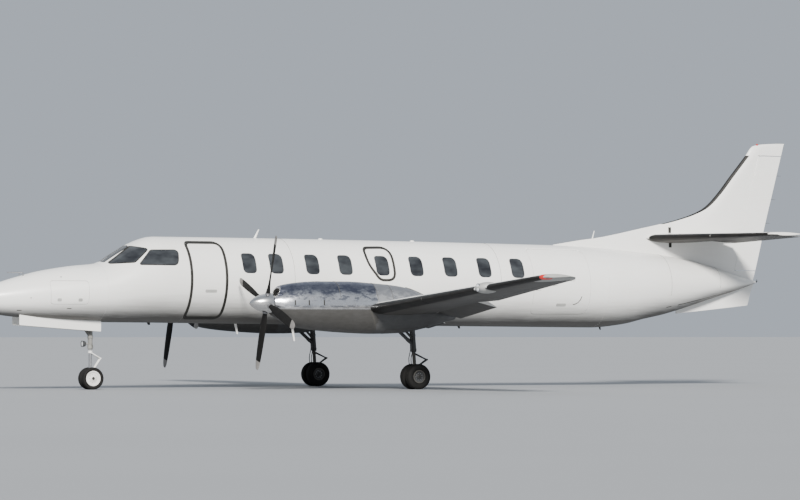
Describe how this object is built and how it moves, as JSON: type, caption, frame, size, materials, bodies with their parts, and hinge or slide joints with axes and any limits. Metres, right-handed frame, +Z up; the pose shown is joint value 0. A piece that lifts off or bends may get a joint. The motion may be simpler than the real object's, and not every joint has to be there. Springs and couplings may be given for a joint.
{
  "type": "turboprop airliner",
  "caption": "Low-wing twin turboprop commuter airliner on tricycle landing gear, with turning propellers and wheels, control surfaces, steerable nose gear and opening doors.",
  "frame": {"origin": "on the ground under the middle of the aircraft's length, on its centreline", "axes": "+X forward to the nose, +Y to port (the aircraft's left), +Z up"},
  "size_m": [18.09, 17.37, 5.08],
  "materials": {
    "white_paint": "gloss",
    "grey_paint": "satin",
    "bare_aluminium": "polished",
    "polished_metal": "polished",
    "engine_steel": "satin",
    "blade_black": "satin",
    "gear_paint": "satin",
    "wheel_paint": "satin",
    "tyre": "matte",
    "dark_glass": "gloss",
    "cabin_floor": "matte"
  },
  "bodies": {
    "airframe": {"nose_radome": "white_paint", "nose_section": "white_paint", "cockpit_shell": "white_paint", "cabin_shell_forward": "white_paint", "cabin_shell_aft": "white_paint", "tail_cone": "white_paint", "cabin_floor": "cabin_floor", "windshield_left": "dark_glass", "windshield_right": "dark_glass", "side_window_front_left": "dark_glass", "side_window_front_right": "dark_glass", "side_window_rear_left": "dark_glass", "side_window_rear_right": "dark_glass", "fin": "white_paint", "ventral_fin": "white_paint", "stabilizer_left": "white_paint", "stabilizer_right": "white_paint", "wing_left": "white_paint", "wing_right": "white_paint", "wing_tip_left": "grey_paint", "wing_tip_right": "grey_paint", "landing_lamp_left": "grey_paint", "landing_lamp_right": "grey_paint", "nacelle_left": "bare_aluminium", "nacelle_right": "bare_aluminium", "engine_left": "engine_steel", "engine_right": "engine_steel", "main_leg_left": "gear_paint", "main_leg_right": "gear_paint", "nose_leg": "gear_paint", "nose_gear_door_left": "white_paint", "nose_gear_door_right": "white_paint"},
    "propeller_unit_left": {"propeller_left": "blade_black", "spinner_left": "polished_metal"},
    "propeller_unit_right": {"propeller_right": "blade_black", "spinner_right": "polished_metal"},
    "wheel_pair_left": {"main_wheels_left": "wheel_paint", "main_tyre_outer_left": "tyre", "main_tyre_inner_left": "tyre"},
    "wheel_pair_right": {"main_wheels_right": "wheel_paint", "main_tyre_outer_right": "tyre", "main_tyre_inner_right": "tyre"},
    "nose_fork": {"nose_piston": "gear_paint"},
    "nose_wheel_pair": {"nose_wheels": "wheel_paint", "nose_tyre_left": "tyre", "nose_tyre_right": "tyre"},
    "aileron_panel_left": {"aileron_left": "white_paint"},
    "aileron_panel_right": {"aileron_right": "white_paint"},
    "flap_panel_outer_left": {"flap_outer_left": "white_paint"},
    "flap_panel_inner_left": {"flap_inner_left": "white_paint"},
    "flap_panel_outer_right": {"flap_outer_right": "white_paint"},
    "flap_panel_inner_right": {"flap_inner_right": "white_paint"},
    "elevator_panel_left": {"elevator_left": "white_paint"},
    "elevator_panel_right": {"elevator_right": "white_paint"},
    "rudder_panel": {"rudder": "white_paint"},
    "airstair": {"passenger_door": "white_paint"},
    "cargo_hatch": {"cargo_door": "white_paint"},
    "nose_hatch_left": {"baggage_door_left": "white_paint"},
    "nose_hatch_right": {"baggage_door_right": "white_paint"}
  },
  "joints": [
    {"name": "propeller_spin_left", "type": "hinge", "parent": "airframe", "child": "propeller_unit_left", "pos_m": [3.96, 2.285, 1.66], "axis": [1, 0, 0], "continuous": true},
    {"name": "propeller_spin_right", "type": "hinge", "parent": "airframe", "child": "propeller_unit_right", "pos_m": [3.96, -2.285, 1.66], "axis": [1, 0, 0], "continuous": true},
    {"name": "main_wheel_spin_left", "type": "hinge", "parent": "airframe", "child": "wheel_pair_left", "pos_m": [0.802, 2.285, 0.2475], "axis": [0, 1, 0], "continuous": true},
    {"name": "main_wheel_spin_right", "type": "hinge", "parent": "airframe", "child": "wheel_pair_right", "pos_m": [0.802, -2.285, 0.2475], "axis": [0, 1, 0], "continuous": true},
    {"name": "nose_steering", "type": "hinge", "parent": "airframe", "child": "nose_fork", "pos_m": [6.647, 0, 0.76], "axis": [0, 0, 1], "range_deg": [-60, 60]},
    {"name": "nose_wheel_spin", "type": "hinge", "parent": "nose_fork", "child": "nose_wheel_pair", "pos_m": [6.632, 0, 0.215], "axis": [0, 1, 0], "continuous": true},
    {"name": "aileron_hinge_left", "type": "hinge", "parent": "airframe", "child": "aileron_panel_left", "pos_m": [0.79758, 8.12, 2.06332], "axis": [-0.0546, -0.9943, -0.0914], "range_deg": [-20, 20]},
    {"name": "aileron_hinge_right", "type": "hinge", "parent": "airframe", "child": "aileron_panel_right", "pos_m": [0.60662, -4.64, 1.7433], "axis": [0.0546, -0.9943, 0.0914], "range_deg": [-20, 20]},
    {"name": "flap_hinge_outer_left", "type": "hinge", "parent": "airframe", "child": "flap_panel_outer_left", "pos_m": [0.60168, 4.55, 1.73502], "axis": [-0.0546, -0.9943, -0.0914], "range_deg": [-18, 17]},
    {"name": "flap_hinge_inner_left", "type": "hinge", "parent": "airframe", "child": "flap_panel_inner_left", "pos_m": [0.45516, 1.88, 1.48949], "axis": [-0.0546, -0.9943, -0.0914], "range_deg": [-18, 17]},
    {"name": "flap_hinge_outer_right", "type": "hinge", "parent": "airframe", "child": "flap_panel_outer_right", "pos_m": [0.49961, -2.69, 1.56397], "axis": [0.0546, -0.9943, 0.0914], "range_deg": [-18, 17]},
    {"name": "flap_hinge_inner_right", "type": "hinge", "parent": "airframe", "child": "flap_panel_inner_right", "pos_m": [0.40468, -0.96, 1.40488], "axis": [0.0546, -0.9943, 0.0914], "range_deg": [-18, 17]},
    {"name": "elevator_hinge_left", "type": "hinge", "parent": "airframe", "child": "elevator_panel_left", "pos_m": [-7.67564, 2.33, 3.1078], "axis": [0.2367, -0.9714, -0.0214], "range_deg": [-35, 10]},
    {"name": "elevator_hinge_right", "type": "hinge", "parent": "airframe", "child": "elevator_panel_right", "pos_m": [-7.15424, -0.19, 3.06064], "axis": [-0.2367, -0.9714, 0.0214], "range_deg": [-35, 10]},
    {"name": "rudder_hinge", "type": "hinge", "parent": "airframe", "child": "rudder_panel", "pos_m": [-7.835, 0, 2.4], "axis": [-0.2318, 0, 0.9728], "range_deg": [-25, 25]},
    {"name": "passenger_door_hinge", "type": "hinge", "parent": "airframe", "child": "airstair", "pos_m": [4.785, 0.39806, 1.377], "axis": [-0.9999, 0.0168, 0], "range_deg": [0, 130]},
    {"name": "cargo_door_hinge", "type": "hinge", "parent": "airframe", "child": "cargo_hatch", "pos_m": [-3.815, 0.39623, 2.776], "axis": [0.9998, -0.0049, 0.0196], "range_deg": [0, 90]},
    {"name": "baggage_door_hinge_left", "type": "hinge", "parent": "airframe", "child": "nose_hatch_left", "pos_m": [7.015, 0.58207, 2.088], "axis": [0.9718, -0.2358, 0], "range_deg": [0, 90]},
    {"name": "baggage_door_hinge_right", "type": "hinge", "parent": "airframe", "child": "nose_hatch_right", "pos_m": [7.555, -0.45106, 2.088], "axis": [-0.9718, -0.2358, 0], "range_deg": [0, 90]}
  ],
  "couplings": [
    {"joint": "aileron_hinge_right", "follows": "aileron_hinge_left", "ratio": -1},
    {"joint": "flap_hinge_inner_left", "follows": "flap_hinge_outer_left", "ratio": 1},
    {"joint": "flap_hinge_outer_right", "follows": "flap_hinge_outer_left", "ratio": 1},
    {"joint": "flap_hinge_inner_right", "follows": "flap_hinge_outer_left", "ratio": 1},
    {"joint": "elevator_hinge_right", "follows": "elevator_hinge_left", "ratio": 1}
  ]
}
